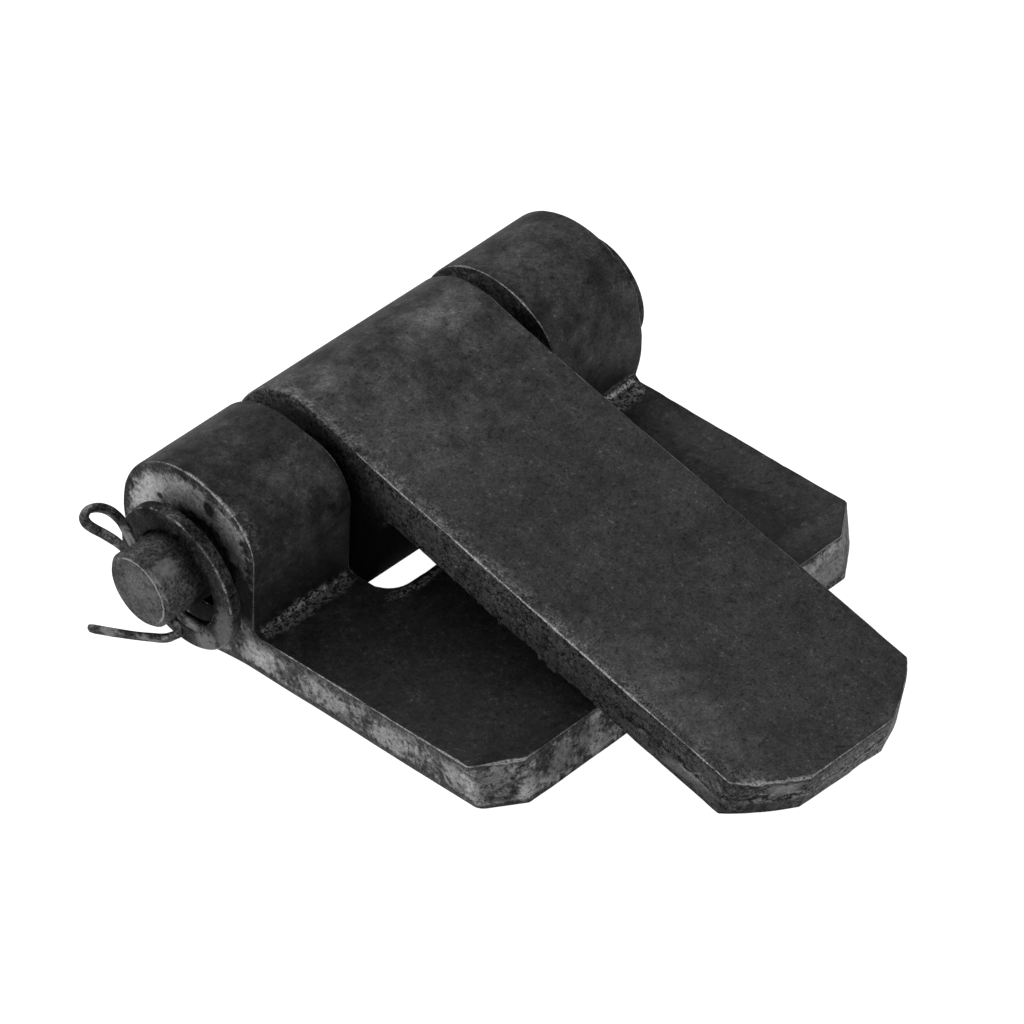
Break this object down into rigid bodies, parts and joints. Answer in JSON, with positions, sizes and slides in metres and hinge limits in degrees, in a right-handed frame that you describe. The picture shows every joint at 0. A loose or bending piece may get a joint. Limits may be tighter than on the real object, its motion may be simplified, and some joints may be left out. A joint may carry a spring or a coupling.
{
  "type": "weld-on barrel hinge",
  "caption": "Heavy weld-on barrel hinge: a forked leaf and a strap leaf rolled from flat bar, on a loose headed pin kept by a washer and a split pin.",
  "frame": {"origin": "middle of the fork leaf's weld face, level with that face", "axes": "+X from the eyes towards the leaves' free ends, +Y along the pin towards its head, +Z out of the weld face"},
  "size_m": [0.1065, 0.0967, 0.032],
  "materials": {
    "fork_steel": "hot-rolled mill scale, worn to bare grey steel on sheared faces and edges",
    "strap_steel": "hot-rolled mill scale, mottled, with bright worn edges",
    "pin_steel": "dark drawn steel with a ground end",
    "washer_steel": "dark scaled steel, edge worn bright",
    "wire_steel": "dark grey drawn wire"
  },
  "bodies": {
    "fork": {"fork_leaf": "fork_steel"},
    "strap": {"strap_leaf": "strap_steel"},
    "pin": {"hinge_pin": "pin_steel", "split_pin": "wire_steel"},
    "washer": {"washer": "washer_steel"}
  },
  "joints": [
    {"name": "strap_hinge", "type": "hinge", "parent": "fork", "child": "strap", "pos_m": [-0.0384, 0, 0.016], "axis": [-0.0105, -0.9999, 0], "range_deg": [0, 195.3]},
    {"name": "pin_spin", "type": "hinge", "parent": "fork", "child": "pin", "pos_m": [-0.03931, 0, 0.01679], "axis": [0, 1, 0], "continuous": true},
    {"name": "washer_spin", "type": "hinge", "parent": "pin", "child": "washer", "pos_m": [-0.03852, -0.0408, 0.01563], "axis": [0, 1, 0], "continuous": true}
  ]
}
